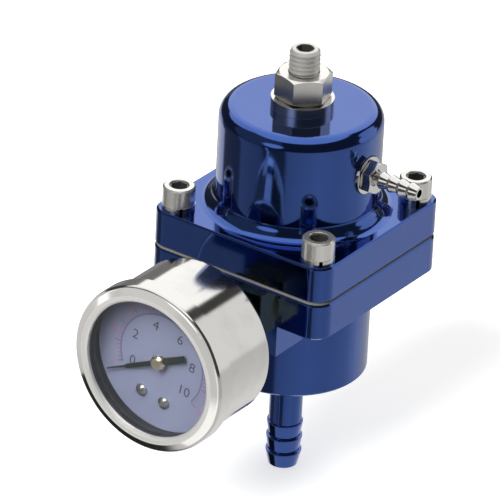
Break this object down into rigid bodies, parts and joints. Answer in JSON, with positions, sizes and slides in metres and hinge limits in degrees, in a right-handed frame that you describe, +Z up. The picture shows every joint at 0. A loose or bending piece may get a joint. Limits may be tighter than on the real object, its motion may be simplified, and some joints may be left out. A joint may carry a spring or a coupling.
{
  "type": "fuel pressure regulator",
  "caption": "Adjustable fuel pressure regulator: a domed bonnet and a lower body clamp a diaphragm between square flanges, with hose barbs, a vacuum nipple and a dial gauge.",
  "frame": {"origin": "centre of the return barb's mouth, the lowest point of the part", "axes": "+Z up along the return barb, dome and adjusting screw; the gauge's dial faces -Y; the vacuum nipple points to +X and the inlet barb to +Y"},
  "size_m": [0.0642, 0.1166, 0.1212],
  "materials": {
    "blue_anodised": "polished, blue anodised",
    "bare_aluminium": "as stamped",
    "plated_steel": "bright nickel plate",
    "plain_steel": "bright drawn",
    "chrome": "polished chrome plate",
    "brass": "machined",
    "black_rubber": "moulded, matt",
    "dial_paint": "satin enamel",
    "black_paint": "matt",
    "window_glass": "clear"
  },
  "bodies": {
    "housing": {"spring_cover": "blue_anodised", "lower_body": "blue_anodised", "diaphragm": "black_rubber", "cap_screws": "plated_steel", "lock_washers": "plated_steel", "flat_washer": "plated_steel", "main_spring": "plain_steel", "valve_seat": "brass", "return_barb": "blue_anodised", "inlet_barb": "blue_anodised", "port_washers": "bare_aluminium", "vacuum_nipple": "chrome", "nipple_washer": "chrome", "gauge_socket": "brass", "gauge_case": "chrome", "gauge_bezel": "chrome", "gauge_window": "window_glass", "window_gasket": "black_rubber", "gauge_dial": "dial_paint", "dial_ring": "black_paint", "dial_screws": "plated_steel", "movement_plates": "brass", "movement_pillars": "brass", "movement_screws": "plain_steel", "hairspring": "plain_steel", "bourdon_tube": "brass"},
    "button": {"spring_button": "plain_steel"},
    "adjuster": {"adjusting_screw": "plated_steel"},
    "nut": {"lock_nut": "plated_steel"},
    "stack": {"upper_plate": "plain_steel", "lower_plate": "plain_steel", "stack_stud": "brass", "stack_nut": "plain_steel", "valve_disc": "black_rubber"},
    "needle": {"pointer": "black_paint", "pointer_hub": "brass", "pinion_arbor": "plain_steel"},
    "sector": {"sector_gear": "brass"},
    "gauge_link": {"link": "plain_steel"}
  },
  "joints": [
    {"name": "adjuster_travel", "type": "slide", "parent": "housing", "child": "button", "axis": [0, 0, 1], "range_m": [-0.005, 0.0025], "deforming": ["main_spring"]},
    {"name": "adjuster_turn", "type": "hinge", "parent": "button", "child": "adjuster", "pos_m": [0, 0, 0.1077], "axis": [0, 0, 1], "range_deg": [-1441, 721]},
    {"name": "lock_nut_turn", "type": "hinge", "parent": "housing", "child": "nut", "pos_m": [0, 0, 0.1112], "axis": [0, 0, 1], "range_deg": [0, 90]},
    {"name": "valve_lift", "type": "slide", "parent": "housing", "child": "stack", "axis": [0, 0, 1], "range_m": [0, 0.0012], "stiffness_N_per_m": 3000, "springref_m": -0.001, "deforming": ["main_spring", "diaphragm"]},
    {"name": "pointer_sweep", "type": "hinge", "parent": "housing", "child": "needle", "pos_m": [0, -0.0565, 0.055], "axis": [0, 1, 0], "range_deg": [0, 252], "stiffness_Nm_per_rad": 0.00002, "springref_deg": -17.19, "deforming": ["hairspring", "bourdon_tube"]},
    {"name": "sector_swing", "type": "hinge", "parent": "housing", "child": "sector", "pos_m": [-0.00383, -0.0502, 0.06552], "axis": [0, 1, 0], "range_deg": [-42.1, 0.1]},
    {"name": "link_swing", "type": "hinge", "parent": "sector", "child": "gauge_link", "pos_m": [-0.00083, -0.0512, 0.06547], "axis": [0, 1, 0], "range_deg": [-0.1, 42.1]}
  ],
  "couplings": [
    {"joint": "adjuster_turn", "follows": "adjuster_travel", "rad_per_m": 5026.5},
    {"joint": "sector_swing", "follows": "pointer_sweep", "ratio": -0.16667},
    {"joint": "link_swing", "follows": "pointer_sweep", "ratio": 0.16667}
  ]
}
